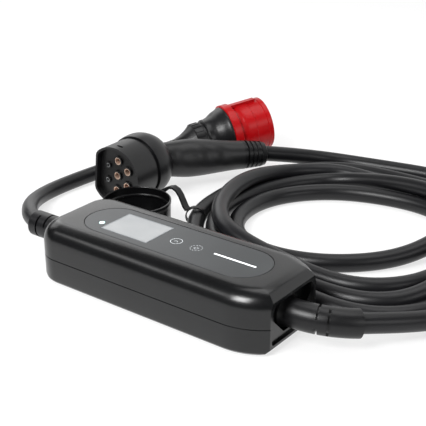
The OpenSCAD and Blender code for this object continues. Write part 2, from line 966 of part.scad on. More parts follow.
tail_r = 10;
tail_groove = 0.8;
tail_rib = 1.8;
tail_gap = 1.4;
tail_ribs = 3;

module plug_rear_cone() {
  ribs_front = plug_tail_s - tail_ribs * (tail_rib + tail_gap) + tail_gap;
  color([0.05, 0.05, 0.055])
    at_plug()
      difference() {
        plug_lathe([
          [0, nut_back_s], [nut_r - 1, nut_back_s], [nut_r - 5, nut_back_s + 6],
          [tail_r + 2.6, nut_back_s + 13], [tail_r + 0.5, nut_back_s + 20],
          [tail_r, plug_tail_s], [0, plug_tail_s]]);
        for (k = [0 : tail_ribs - 1])
          translate([0, 0, -ribs_front - k * (tail_rib + tail_gap)])
            rotate_extrude()
              translate([tail_r - tail_groove, 0]) square([tail_groove + 2, tail_gap]);
      }
}

plug_tail = plug_rim - plug_tail_s * plug_dir;

// Cords: one ring of points at each route point, the ends square to what they meet.
cord_sides = 12;
floor_z = charge_d / 2;

module cord(route, first_dir, last_dir, d) {
  last = len(route) - 1;
  skin([for (k = [0 : last])
    let (along = k == 0 ? first_dir : k == last ? last_dir : unit(route[k + 1] - route[k - 1]))
    ring(route[k], along, [for (i = [1 : cord_sides]) d / 2])]);
}

supply_route = concat(
  [[-half_l - supply_boot_l, 0, gland_z]],
  [[-178, 9, 23], [-194, 22, 19.5], [-209, 37, 15.5], [-223, 56, 11.5], [-232, 78, 9],
   [-235, 100, 8.2], [-234.5, 122, 8.2], [-231.5, 144, 9], [-225, 163, 11]],
  [plug_tail - 42 * plug_dir, plug_tail - 20 * plug_dir, plug_tail]);

charge_lead_route = concat(
  [boot_end],
  [[170, 28.5, 19.8], [182, 43, 18], [194, 57, 16], [204, 73, 13.5], [211, 92, 10.8],
   [214.5, 112, 9]],
  [[215, 130, floor_z]]);

handle_lead_route = concat(
  [handle_end],
  [[-82.5, 289, 23.5], [-72, 304.5, 18], [-58.5, 327.5, 13], [-40, 341, 9], [-20, 347, floor_z],
   [3, 352.5, floor_z], [30, 358.5, floor_z], [53, 362.7, floor_z], [88, 366.5, floor_z],
   [122, 364, floor_z], [154, 351, floor_z], [182, 330, floor_z], [202, 304, floor_z],
   [212, 277, floor_z]],
  [[215, 252, floor_z]]);

module supply_cord() {
  color([0.07, 0.07, 0.08]) cord(supply_route, [-1, 0, 0], plug_dir, supply_d);
}

module charge_cord_lead() {
  color([0.07, 0.07, 0.08]) cord(charge_lead_route, boot_dir, [0, 1, 0], charge_d);
}

module handle_cord_lead() {
  color([0.07, 0.07, 0.08]) cord(handle_lead_route, handle_dir, [0, -1, 0], charge_d);
}

// Coil: the outline of four loose turns lying on the floor behind the box.
coil_outer = [
  [-93, 155], [-88, 134], [-77, 113], [-60, 88], [-40, 66], [-12, 51.5], [22, 46.4], [64, 46.4],
  [110, 46.4], [150, 48], [176, 60], [195, 82], [203, 106], [206, 130], [206, 252],
  [200, 275], [184, 300], [154, 321], [115, 335], [78, 340], [40, 340.5], [10, 339],
  [-14, 336.5], [-33, 330], [-52, 313], [-69, 290], [-81, 265], [-90, 238], [-94, 205],
  [-94.5, 180]];
coil_inner = [
  [-38, 195], [-37, 172], [-28, 146], [-14, 120], [2, 98], [22, 86], [42, 85], [62, 92],
  [85, 113], [101, 141], [117, 164], [131, 190], [138, 215], [135, 240], [121, 260],
  [102, 273], [78, 276], [58, 273], [38, 269], [17, 262], [-3, 250], [-18, 236],
  [-29, 221], [-36, 208]];
coil_shoulder = [[200, 130], [224, 130], [227, 160], [228, 191], [227, 222], [224, 252], [200, 252]];
coil_h = 2 * charge_d;
coil_round = 4;

module coil_slice(inset, low, high) {
  translate([0, 0, low])
    linear_extrude(high - low)
      difference() {
        offset(delta = -inset) union() {
          polygon(coil_outer);
          polygon(coil_shoulder);
        }
        offset(delta = inset) polygon(coil_inner);
      }
}

ring_spot = [-71.5, 121.5, 11.6];
ring_heading = 122;
ring_w = 4.5;
ring_t = 1.2;
ring_room = 3;

module at_ring() {
  translate(ring_spot) rotate([0, 0, ring_heading]) rotate([0, 90, 0]) children();
}

module charge_cord_coil() {
  color([0.07, 0.07, 0.08])
    difference() {
      union() {
        linear_extrude(coil_h - coil_round)
          difference() {
            union() {
              polygon(coil_outer);
              polygon(coil_shoulder);
            }
            polygon(coil_inner);
          }
        coil_slice(coil_round, coil_h - coil_round - eps, coil_h);
      }
      at_ring()
        difference() {
          cylinder(r = charge_d / 2 + ring_t + ring_room, h = ring_w + 4 * ring_room, center = true);
          cylinder(d = charge_d, h = ring_w + 5 * ring_room, center = true);
        }
    }
}

// Dust cap: a round cup, open side up.
cap_spot = [-111.4, 82.5, 0];
cap_floor_t = 2.6;

module dust_cap() {
  color([0.04, 0.04, 0.045])
    translate(cap_spot)
      rotate_extrude()
        polygon([
          [0, 0], [cap_r - 5, 0], [cap_r - 2.4, 0.8], [cap_r - 0.8, 3], [cap_r - 0.6, 6],
          [cap_r - 0.4, cap_h - 4], [cap_r, cap_h - 3.2], [cap_r, cap_h - 0.5],
          [cap_r - 0.5, cap_h], [cap_r - cap_t + 0.4, cap_h], [cap_r - cap_t, cap_h - 0.5],
          [cap_r - cap_t, cap_h - 7], [cap_r - cap_t - 0.9, cap_h - 8],
          [cap_r - cap_t - 0.9, cap_h - 9.5], [cap_r - cap_t, cap_h - 10.5],
          [cap_r - cap_t - 0.4, cap_floor_t + 3], [cap_r - cap_t - 3, cap_floor_t],
          [0, cap_floor_t]]);
}

strap_route = [
  [-108.6, 115.25, 28.6], [-105, 118, 32], [-101, 119.6, 34.8], [-97, 120.4, 35.6],
  [-92.5, 121, 33.4], [-89, 121.4, 28.6], [-86.2, 121.4, 23.4], [-83, 120.6, 19],
  [-79, 119.4, 16.6]];

function band(centre, along, width_dir) =
  let (side = unit(width_dir - (width_dir * along) * along), rise = cross(side, along))
  [for (c = [[1, 1], [-1, 1], [-1, -1], [1, -1]])
    centre + c[0] * strap_w / 2 * side + c[1] * strap_t / 2 * rise];

module cap_strap() {
  last = len(strap_route) - 1;
  color([0.03, 0.03, 0.03]) {
    skin([for (k = [0 : last])
      let (along = unit(strap_route[min(k + 1, last)] - strap_route[max(k - 1, 0)]))
      band(strap_route[k], along, mix([-1, 0.6, 0], [0, 1, 0], min(k / 2, 1)))]);
    at_ring()
      difference() {
        cylinder(r = charge_d / 2 + clear + ring_t, h = ring_w, center = true);
        cylinder(r = charge_d / 2 + clear, h = ring_w + 2, center = true);
      }
  }
}

lower_shell();
upper_shell();
shell_gasket();
housing_screws();
front_panel();
display_window();
display_module();
light_line();
status_lens();
circuit_board();
board_screws();
relays();
current_sensor();
power_supply_block();
terminal_blocks();
capacitors();
supply_leads();
charge_leads();
supply_boot();
charge_boot();
supply_cord();
charge_cord_lead();
charge_cord_coil();
handle_cord_lead();
plug_rear_cone();
plug_gland_nut();
plug_body();
plug_shroud();
plug_pin_carrier();
plug_line_pins();
plug_earth_pin();
connector_shroud();
connector_insert();
power_contacts();
signal_contacts();
connector_collar();
handle_grip();
handle_end_boot();
dust_cap();
cap_strap();
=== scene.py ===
"""Looks of a portable vehicle charger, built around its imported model. Metres, +Z up."""

import math

import bmesh
import bpy
import numpy as np
from bpy.props import FloatProperty, FloatVectorProperty, IntProperty, PointerProperty, StringProperty
from mathutils import Matrix, Vector


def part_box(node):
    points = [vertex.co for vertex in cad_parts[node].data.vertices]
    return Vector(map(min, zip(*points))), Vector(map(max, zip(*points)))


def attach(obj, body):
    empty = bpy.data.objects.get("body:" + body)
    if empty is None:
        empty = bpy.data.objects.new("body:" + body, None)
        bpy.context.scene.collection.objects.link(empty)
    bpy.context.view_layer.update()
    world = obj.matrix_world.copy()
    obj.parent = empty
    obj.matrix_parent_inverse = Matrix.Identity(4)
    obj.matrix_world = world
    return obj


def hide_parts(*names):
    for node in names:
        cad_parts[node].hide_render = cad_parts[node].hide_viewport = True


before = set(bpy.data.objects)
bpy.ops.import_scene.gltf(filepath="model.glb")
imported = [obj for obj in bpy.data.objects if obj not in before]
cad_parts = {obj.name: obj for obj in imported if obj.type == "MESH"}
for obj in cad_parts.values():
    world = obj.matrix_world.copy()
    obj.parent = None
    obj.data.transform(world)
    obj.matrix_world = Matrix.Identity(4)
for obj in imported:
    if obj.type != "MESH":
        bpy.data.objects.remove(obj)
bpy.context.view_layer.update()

bl_info = {
    "name": "Portable vehicle charger",
    "version": (1, 0, 0),
    "blender": (4, 5, 0),
    "location": "View3D > Sidebar > Charger",
    "description": "Builds the charger's visible pieces, its cords and the studio around its packed model",
    "category": "Object",
}

MM = 0.001

# The photograph's camera: where it stands, where it looks, its focal length in picture widths.
CAMERA_PLACE = (0.4720, -0.5702, 0.4014)
CAMERA_FORWARD = (-0.5517, 0.7305, -0.4026)
CAMERA_RIGHT = (0.7980, 0.6027, 0)
SENSOR_MM = 36
FOCAL_WIDTHS = 1000 / 426

# The control box as the coil meets it: a straight side, then one long arc to its end, in millimetres.
BOX_BACK_X = -80
BOX_NOSE_X = 82.7
BOX_END_X = 118.5
BOX_SIDE_Y = 45.7
NOSE_R = 52.7
BOX_CLEAR = 0.9

# The plug's front on its axis and its tail behind it, in millimetres, and the way it points.
PLUG_FACE = (-134.6, 326.3, 38.6)
PLUG_DIR = (0.47064, 0.87043, 0.14436)
PLUG_TAIL = 118
NUT_MIDDLE = 81.5

# Middles of the two touch marks on the panel, in millimetres.
START_MARK = (4.5, -0.6)
STOP_MARK = (25.3, -0.9)

# Studio lamps: place, aim and size in metres, power in watts.
LAMPS = {
    "overhead_softbox": ((0.1, 0.55, 1.7), (0, 0.1, 0), (1.3, 0.9), 9.0),
    "left_softbox": ((-1.5, 0.5, 0.9), (0, 0.1, 0), (1.0, 0.8), 4.5),
    "far_softbox": ((-1.6, 1.3, 0.85), (0, 0.1, 0), (0.9, 0.7), 1.8),
    "right_softbox": ((1.5, -0.1, 0.8), (0, 0.1, 0), (0.8, 0.6), 4.0),
    "strip_softbox": ((-1.0, -0.95, 1.15), (0, 0, 0), (0.8, 0.3), 2.5),
    "front_softbox": ((0.0, -1.15, 1.15), (0, 0, 0), (0.6, 0.6), 26.0),
}

# Routes, in millimetres, as the part's source has them. Both leads of the vehicle cord
# and the coil between them are one cord.
MAINS_ROUTE = [
    (-160.5, 0, 24.2), (-178, 9, 23), (-194, 22, 19.5), (-209, 37, 15.5), (-223, 56, 11.5),
    (-232, 78, 9), (-235, 100, 8.2), (-234.5, 122, 8.2), (-231.5, 144, 9), (-225, 163, 11)]
LEAD_FROM_BOX = [
    (163.52, 21.56, 20.86), (170, 28.5, 19.8), (182, 43, 18), (194, 57, 16), (204, 73, 13.5),
    (211, 92, 10.8), (214.5, 112, 9), (215, 130, 8.25)]
LEAD_TO_HANDLE = [
    (215, 252, 8.25), (212, 277, 8.25), (202, 304, 8.25), (182, 330, 8.25), (154, 351, 8.25),
    (122, 364, 8.25), (88, 366.5, 8.25), (53, 362.7, 8.25), (30, 358.5, 8.25), (3, 352.5, 8.25),
    (-20, 347, 8.25), (-40, 341, 9), (-58.5, 327.5, 13), (-72, 304.5, 18), (-82.5, 289, 23.5),
    (-94.3, 270.8, 26.5)]

# The coil's four loose turns, each from the right-hand side over the back, the left and the front.
# Loose turns follow no rule, so their points are listed one by one too.
COIL_TURNS = [
    [(213, 152, 8.25), (207, 176, 8.25), (202, 202, 8.25), (197, 232, 8.25), (187, 264, 8.25),
     (168, 294, 8.25), (141, 317, 8.25), (109, 329, 8.25), (75, 331.5, 8.25), (45, 332, 8.25),
     (15, 330.5, 8.25), (-10, 329, 8.25), (-29, 323, 8.25), (-47, 309, 8.25), (-63, 289, 8.25),
     (-78, 260, 8.25), (-85, 233, 8.25), (-86, 205, 8.25), (-85, 178, 8.25), (-82.5, 151, 8.25),
     (-77, 130.5, 10.5), (-71.5, 121.5, 11.6), (-66, 113, 10.5), (-52, 93, 8.25), (-34, 73, 8.25),
     (-10, 58.5, 8.25), (20, 54.3, 8.25), (55, 54.3, 8.25), (85, 53, 8.25), (107, 48.8, 8.25),
     (125, 46.6, 8.25), (143, 48.5, 8.25), (160, 55.5, 8.25), (176.5, 69, 8.25),
     (189.5, 88, 8.25), (196.5, 109, 8.25)],
    [(198, 132, 8.25), (195, 155, 8.25), (188.5, 178, 8.25), (184, 205, 8.25), (180.5, 232, 8.25),
     (170, 262, 8.25), (150, 286, 8.25), (124, 299, 8.25), (101, 302, 8.25), (79, 302, 8.25),
     (55, 305, 8.25), (30, 310, 8.25), (5, 312, 10), (-20.4, 307.6, 13), (-37.3, 292.2, 14),
     (-51.7, 273.3, 14), (-64, 244, 17), (-69.5, 216, 20.5), (-69, 190, 22), (-63.5, 161, 23.5),
     (-52, 134, 24.75), (-35, 108, 24.75), (-17.3, 92.5, 24.75), (2, 86, 21.5),
     (22, 84, 18.5), (42, 83, 14.5), (60, 83.5, 11), (76, 84, 8.6), (90, 84.2, 8.25),
     (106, 84.8, 8.25), (120, 88.3, 8.25), (134, 96, 8.25), (149, 111, 8.25)],
    [(162, 130, 8.25), (169, 152, 8.25), (169, 176, 8.25), (163.5, 200, 8.25),
     (156, 221, 8.25), (147, 241, 8.25), (136, 260, 8.25), (116, 277, 8.25),
     (91.3, 284.8, 8.25), (67, 283.7, 8.25), (42.1, 278.8, 8.25),
     (17.6, 271.9, 8.25), (-4.4, 260, 8.25), (-19.9, 246.3, 8.25), (-33.4, 229.4, 8.25),
     (-45.5, 207, 8.25), (-48.7, 183, 8.25), (-46.5, 160, 8.25), (-40, 141, 8.25),
     (-30, 124, 8.25), (-15, 110, 8.25), (4, 101.5, 8.25), (26, 98.5, 8.25), (42, 99.5, 8.25),
     (58.4, 104.4, 8.25), (74.6, 111.4, 8.25), (88.4, 119.9, 8.25), (99.2, 129.6, 8.25),
     (108.6, 139.5, 8.25)],
    [(124.2, 159.5, 8.25), (137, 182, 11), (146.5, 203, 18), (152.5, 225, 24.5),
     (151, 248, 25.5), (139, 271, 24), (119, 286, 22.5), (100, 292.5, 22.5),
     (85, 293.4, 22.5), (57, 293, 21), (34.6, 293.3, 18), (10, 296, 13), (-11.5, 292.5, 8.25),
     (-30.5, 278.5, 8.25), (-46.5, 257.3, 8.25), (-60, 229, 8.25), (-67.5, 201, 8.25),
     (-68.5, 177, 8.25), (-66, 154, 8.25), (-60.5, 136, 8.25), (-51.5, 121, 8.25),
     (-38, 104, 8.25), (-20, 89, 8.25), (0, 77.5, 8.25), (20, 71.5, 8.25), (42, 70.3, 8.25),
     (64, 70, 8.25), (86, 68.6, 8.25), (108, 66.3, 8.25), (128, 66.8, 8.25), (146, 73.5, 8.25),
     (163, 86.5, 8.25), (175, 103, 9.5), (181, 118, 14), (184.5, 132.5, 18.5), (190, 148, 23.5),
     (197, 164, 24.75), (204, 182, 24.75), (210, 204, 23), (214.5, 228, 15)],
]


# Materials


def linear(hex_code):
    """sRGB hex to linear RGBA."""
    value = hex_code.lstrip("#")
    parts = [int(value[k:k + 2], 16) / 255 for k in (0, 2, 4)]
    return [c / 12.92 if c <= 0.04045 else ((c + 0.055) / 1.055) ** 2.4 for c in parts] + [1.0]


def add(tree, kind, links=None, **settings):
    """Adds a node; links maps an input to a socket or a plain value."""
    made = tree.nodes.new(kind)
    for key, value in settings.items():
        setattr(made, key, value)
    for key, value in (links or {}).items():
        socket = made.inputs[key]
        if isinstance(value, bpy.types.NodeSocket):
            tree.links.new(value, socket)
        else:
            socket.default_value = value
    return made


def finish_of(name, colours, roughness, grain, bump=0.0, coords="Object", stretch=(1, 1, 1), **shader):
    """A finish whose colour and roughness vary over a noise pattern of a real size in metres."""
    made = bpy.data.materials.new(name)
    made.use_nodes = True
    tree = made.node_tree
    tree.nodes.clear()
    place = add(tree, "ShaderNodeTexCoord")
    spread = add(tree, "ShaderNodeMapping", {"Vector": place.outputs[coords], "Scale": stretch})
    broad = add(tree, "ShaderNodeTexNoise",
                {"Vector": spread.outputs["Vector"], "Scale": 1 / CLOUD, "Detail": 4.0})
    fine = add(tree, "ShaderNodeTexNoise",
               {"Vector": spread.outputs["Vector"], "Scale": 1 / grain, "Detail": 3.0, "Roughness": 0.55})
    ramp = add(tree, "ShaderNodeValToRGB", {"Fac": broad.outputs["Fac"]})
    for stop, place_on_ramp, colour in zip(ramp.color_ramp.elements, (0.35, 0.65), colours):
        stop.position = place_on_ramp
        stop.color = linear(colour)
    sheen = add(tree, "ShaderNodeMapRange",
                {"Value": fine.outputs["Fac"], "To Min": roughness[0], "To Max": roughness[1]})
    body = add(tree, "ShaderNodeBsdfPrincipled",
               {"Base Color": ramp.outputs["Color"], "Roughness": sheen.outputs["Result"], **shader})
    if bump:
        relief = add(tree, "ShaderNodeBump",
                     {"Height": fine.outputs["Fac"], "Strength": 0.6, "Distance": bump})
        tree.links.new(relief.outputs["Normal"], body.inputs["Normal"])
    add(tree, "ShaderNodeOutputMaterial", {"Surface": body.outputs["BSDF"]})
    return made


# Size of the faint clouds in every finish, in metres.
CLOUD = 1 / 18
FINISHES = {}
# Filled black plastics reflect less than clear ones.
DULL = {"Specular IOR Level": 0.4}


def make_finishes():
    sizes = bpy.context.scene.charger_colours
    # ABS, spark-eroded tool: nearly black, broad soft highlights.
    FINISHES["housing"] = finish_of("moulded_abs_satin_black", ("#0b0b0c", "#0f1011"), (0.20, 0.28),
                                    0.0011, 0.00002, IOR=1.5)
    # Painted and clear-coated aluminium panel: even mid grey, a faint flake.
    FINISHES["panel"] = finish_of("painted_panel_grey", (sizes.panel, "#2f3234"), (0.26, 0.34),
                                  0.0012, 0.00001, IOR=1.5)
    # Acrylic window over a reflective display: pale grey, glossy.
    FINISHES["window"] = finish_of("acrylic_window_pale", ("#8b8e90", "#9a9c9d"), (0.12, 0.18),
                                   0.004, IOR=1.49)
    # Screen-printed edge behind the window: even pale grey.
    FINISHES["bezel"] = finish_of("printed_bezel_grey", ("#787c7f", "#84888b"), (0.3, 0.4), 0.002, IOR=1.5)
    # Backlit diffuser strip and lens: they glow.
    FINISHES["light"] = finish_of("diffuser_lit_white", ("#f4f8fa", "#ffffff"), (0.3, 0.4), 0.002,
                                  **{"Emission Color": linear("#f2f8fb"), "Emission Strength": 0.9})
    FINISHES["lens"] = finish_of("lens_lit_cyan", ("#cdf6f2", "#e9fffb"), (0.2, 0.3), 0.002,
                                 **{"Emission Color": linear("#b9f2ee"), "Emission Strength": 0.9})
    # Screen-printed ink of the touch marks: light and matt.
    FINISHES["icon"] = finish_of("screen_print_light_grey", ("#c9ced1", "#d5d9dc"), (0.35, 0.45), 0.001)
    # TPU cable sheath, extruded: matt black, streaks along its length.
    FINISHES["sheath"] = finish_of("tpu_cable_sheath_black", ("#0d0d0f", "#131316"), (0.34, 0.43), 0.0016,
                                   0.00003, coords="UV", stretch=(0.06, 1, 1), IOR=1.5, **DULL)
    # Moulded elastomer of boots and end boots.
    FINISHES["rubber"] = finish_of("moulded_elastomer_black", ("#0b0b0c", "#101012"), (0.32, 0.42), 0.0013,
                                   0.00003, IOR=1.5, **DULL)
    # Glass-filled nylon of the connector and plug bodies: fine matt grain.
    FINISHES["nylon"] = finish_of("glass_filled_nylon_black", ("#0c0c0d", "#121214"), (0.30, 0.40), 0.0009,
                                  0.00005, IOR=1.53, **DULL)
    # Soft-touch overmoulding of the handle.
    FINISHES["grip"] = finish_of("soft_touch_elastomer_black", ("#101011", "#171718"), (0.36, 0.46), 0.0007,
                                 0.00004, IOR=1.5)
    # Thermoplastic insulator: the deepest black, plain.
    FINISHES["insulator"] = finish_of("thermoplastic_insulator_black", ("#060606", "#0a0a0b"), (0.3, 0.42),
                                      0.001, 0.00002, IOR=1.53, **DULL)
    # Moulded polypropylene of the red plug shroud: saturated, soft highlights.
    FINISHES["red"] = finish_of("polypropylene_signal_red", (sizes.red, "#ac070e"), (0.26, 0.34), 0.002,
                                IOR=1.49, **{"Specular IOR Level": 0.25})
    # Silver-plated copper alloy sockets: warm, turned.
    FINISHES["contact"] = finish_of("plated_copper_alloy_turned", ("#d8b8a2", "#ecd3c2"), (0.32, 0.42),
                                    0.0006, Metallic=0.7)
    # Nickel-plated brass pins: a clean pale metal.
    FINISHES["pin"] = finish_of("nickel_plated_brass", ("#c9c6bd", "#dad8d2"), (0.16, 0.28), 0.0008,
                                Metallic=1.0)
    # EPDM of the dust cap and strap: smoother, a little glossy.
    FINISHES["cap"] = finish_of("epdm_cap_black", ("#070708", "#0c0c0d"), (0.24, 0.34), 0.002, 0.00002,
                                IOR=1.5, **DULL)
    # Zinc-plated steel of screws and signal sockets: a dull silver.
    FINISHES["steel"] = finish_of("zinc_plated_steel", ("#a9abad", "#bfc1c2"), (0.25, 0.4), 0.0008,
                                  Metallic=1.0)
    # Circuit board under its solder mask: deep green, half gloss.
    FINISHES["board"] = finish_of("fr4_solder_mask_green", ("#0f4a26", "#17602f"), (0.3, 0.4), 0.0015,
                                  IOR=1.55)
    # Moulded epoxy cases: blue, slightly rough.
    FINISHES["component"] = finish_of("moulded_epoxy_component", ("#1d2a4a", "#27365c"), (0.35, 0.5),
                                      0.0012)
    # PVC round the inner leads: brown, smooth.
    FINISHES["copper"] = finish_of("pvc_insulated_lead_brown", ("#5b3a22", "#6c4529"), (0.35, 0.45), 0.0015)


# Meshes


def new_piece(name, mesh, finish, replaces=()):
    """A visible piece that rides on the charger and may stand for CAD nodes."""
    piece = bpy.data.objects.new(name, mesh)
    bpy.context.scene.collection.objects.link(piece)
    mesh.materials.clear()
    mesh.materials.append(FINISHES[finish])
    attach(piece, "root")
    if replaces:
        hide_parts(*replaces)
    return piece


def smooth(mesh, angle):
    """Smooth shading with sharp edges past an angle in degrees."""
    for face in mesh.polygons:
        face.use_smooth = True
    mesh.set_sharp_from_angle(angle=math.radians(angle))


# Corners this near are one, in metres, and faces this near to flat are one, in radians.
MERGE_GAP = 0.00001
FLAT_WITHIN = math.radians(0.6)


def dress(node, finish, angle=32, bevel=0.0):
    """A merged and smoothed copy of a CAD node, its hard edges broken when a bevel is given."""
    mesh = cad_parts[node].data.copy()
    mesh.name = node + "_dressed"
    for layer in list(mesh.attributes):
        if layer.name == "custom_normal":
            mesh.attributes.remove(layer)
    work = bmesh.new()
    work.from_mesh(mesh)
    bmesh.ops.remove_doubles(work, verts=work.verts, dist=MERGE_GAP)
    bmesh.ops.dissolve_limit(work, angle_limit=FLAT_WITHIN, verts=work.verts, edges=work.edges)
    work.to_mesh(mesh)
    work.free()
    smooth(mesh, angle)
    piece = new_piece(node + "_dressed", mesh, finish, (node,))
    if bevel:
        edge = piece.modifiers.new("edge", "BEVEL")
        edge.width = bevel
        edge.segments = 2
        edge.limit_method = "ANGLE"
        edge.angle_limit = math.radians(38)
        edge.harden_normals = True
        edge.use_clamp_overlap = True
    return piece


def paint_node(node, finish):
    """A CAD node that stays as it is gets its finish."""
    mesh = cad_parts[node].data
    if not mesh.materials:
        mesh.materials.append(FINISHES[finish])
    for k in range(len(mesh.materials)):
        mesh.materials[k] = FINISHES[finish]


def mesh_of(name, points, faces):
    """A mesh whose faces all point outwards."""
    mesh = bpy.data.meshes.new(name)
    mesh.from_pydata([tuple(p) for p in points], [], faces)
    work = bmesh.new()
    work.from_mesh(mesh)
    bmesh.ops.recalc_face_normals(work, faces=work.faces)
    work.to_mesh(mesh)
    work.free()
    return mesh


# Printed marks stand this far above the panel and reach this far into it, in millimetres.
PRINT_TOP = 0.05
PRINT_ROOT = -0.02
PRINT_T = PRINT_TOP - PRINT_ROOT
PRINT_MIDDLE = (PRINT_TOP + PRINT_ROOT) / 2


def arc(name, centre, radius, width, start=0.0, end=360.0):
    """A flat raised bow or ring, sizes in millimetres, angles in degrees."""
    closed = abs(end - start) >= 360
    steps = 64
    points, faces = [], []
    section = ((radius, PRINT_ROOT), (radius, PRINT_TOP), (radius - width, PRINT_TOP),
               (radius - width, PRINT_ROOT))
    for k in range(steps if closed else steps + 1):
        t = math.radians(start + (end - start) * k / steps)
        for r, z in section:
            at = Vector(centre) + Vector((r * math.cos(t), r * math.sin(t), z))
            points.append(at * MM)
    rings = len(points) // 4
    for k in range(rings if closed else rings - 1):
        n = (k + 1) % rings
        faces += [(4 * k + j, 4 * k + (j + 1) % 4, 4 * n + (j + 1) % 4, 4 * n + j) for j in range(4)]
    if not closed:
        faces += [(0, 1, 2, 3), tuple(4 * rings - 4 + j for j in (3, 2, 1, 0))]
    return mesh_of(name, points, faces)


def bars_group():
    """Node group: bars set round a circle, each turned outward."""
    group = bpy.data.node_groups.get("ring_of_bars")
    if group:
        return group
    group = bpy.data.node_groups.new("ring_of_bars", "GeometryNodeTree")
    for label, kind in (("Count", "NodeSocketInt"), ("Radius", "NodeSocketFloat"),
                        ("Bar", "NodeSocketVector"), ("Finish", "NodeSocketMaterial")):
        group.interface.new_socket(label, in_out="INPUT", socket_type=kind)
    group.interface.new_socket("Mesh", in_out="OUTPUT", socket_type="NodeSocketGeometry")
    given = add(group, "NodeGroupInput")
    places = add(group, "GeometryNodeMeshLine", {"Count": given.outputs["Count"], "Offset": (0, 0, 0)},
                 mode="OFFSET")
    step = add(group, "ShaderNodeMath", {0: 2 * math.pi, 1: given.outputs["Count"]},
               operation="DIVIDE")
    number = add(group, "GeometryNodeInputIndex")
    angle = add(group, "ShaderNodeMath", {0: number.outputs[0], 1: step.outputs[0]},
                operation="MULTIPLY")
    turn = add(group, "ShaderNodeCombineXYZ", {"Z": angle.outputs[0]})
    bar = add(group, "GeometryNodeMeshCube", {"Size": given.outputs["Bar"]})
    out = add(group, "ShaderNodeCombineXYZ", {"X": given.outputs["Radius"]})
    away = add(group, "GeometryNodeTransform",
               {"Geometry": bar.outputs["Mesh"], "Translation": out.outputs[0]})
    many = add(group, "GeometryNodeInstanceOnPoints",
               {"Points": places.outputs["Mesh"], "Instance": away.outputs[0], "Rotation": turn.outputs[0]})
    real = add(group, "GeometryNodeRealizeInstances", {"Geometry": many.outputs["Instances"]})
    painted = add(group, "GeometryNodeSetMaterial",
                  {"Geometry": real.outputs[0], "Material": given.outputs["Finish"]})
    add(group, "NodeGroupOutput", {"Mesh": painted.outputs[0]})
    return group


def ring_of_bars(name, count, radius, bar, finish, place):
    """A plain mesh of bars round +Z, sizes in millimetres, set in its place by a matrix."""
    group = bars_group()
    holder = bpy.data.objects.new(name, bpy.data.meshes.new(name))
    bpy.context.scene.collection.objects.link(holder)
    repeat = holder.modifiers.new("repeat", "NODES")
    repeat.node_group = group
    given = {"Count": count, "Radius": radius * MM, "Bar": [v * MM for v in bar],
             "Finish": FINISHES[finish]}
    for item in group.interface.items_tree:
        if item.in_out == "INPUT":
            repeat[item.identifier] = given[item.name]
    view = bpy.context.evaluated_depsgraph_get()
    mesh = bpy.data.meshes.new_from_object(holder.evaluated_get(view))
    bpy.data.objects.remove(holder)
    mesh.name = name
    mesh.transform(place)
    return mesh


# Cords


# Spacing of a cord's points while it settles and when it is finished, in millimetres.
SETTLE_STEP = 7.0
CORD_STEP = 5.0


def through(points, step):
    """A smooth line through the points, sampled evenly."""
    p = np.array(points, float)
    ext = np.vstack([2 * p[0] - p[1], p, 2 * p[-1] - p[-2]])
    out = []
    for k in range(1, len(ext) - 2):
        a, b, c, d = ext[k - 1:k + 3]
        ta = 0.0
        tb = ta + np.linalg.norm(b - a) ** 0.5
        tc = tb + np.linalg.norm(c - b) ** 0.5
        td = tc + np.linalg.norm(d - c) ** 0.5
        for t in np.linspace(tb, tc, 24, endpoint=False):
            ab = (tb - t) / (tb - ta) * a + (t - ta) / (tb - ta) * b
            bc = (tc - t) / (tc - tb) * b + (t - tb) / (tc - tb) * c
            cd = (td - t) / (td - tc) * c + (t - tc) / (td - tc) * d
            abc = (tc - t) / (tc - ta) * ab + (t - ta) / (tc - ta) * bc
            bcd = (td - t) / (td - tb) * bc + (t - tb) / (td - tb) * cd
            out.append((tc - t) / (tc - tb) * abc + (t - tb) / (tc - tb) * bcd)
    out.append(p[-1])
    return evenly(np.array(out), step)


def evenly(line, step):
    """The same line with its points a step apart."""
    gaps = np.linalg.norm(np.diff(line, axis=0), axis=1)
    along = np.concatenate([[0], np.cumsum(gaps)])
    count = max(int(round(along[-1] / step)), 2)
    at = np.linspace(0, along[-1], count + 1)
    return np.stack([np.interp(at, along, line[:, k]) for k in range(3)], 1)


def box_side(x):
    """How far the control box reaches toward the coil at a place along it, in millimetres."""
    past = np.clip(x - BOX_NOSE_X, 0, BOX_END_X - BOX_NOSE_X)
    reach = np.sqrt(NOSE_R ** 2 - past ** 2) - (NOSE_R - BOX_SIDE_Y)
    return np.where(x < BOX_END_X, reach, -100.0)


def eased(line, rounds):
    """The same line with its small kinks smoothed out, its ends kept."""
    for _ in range(rounds):
        line[1:-1] += 0.5 * ((line[:-2] + line[2:]) / 2 - line[1:-1])
    return line


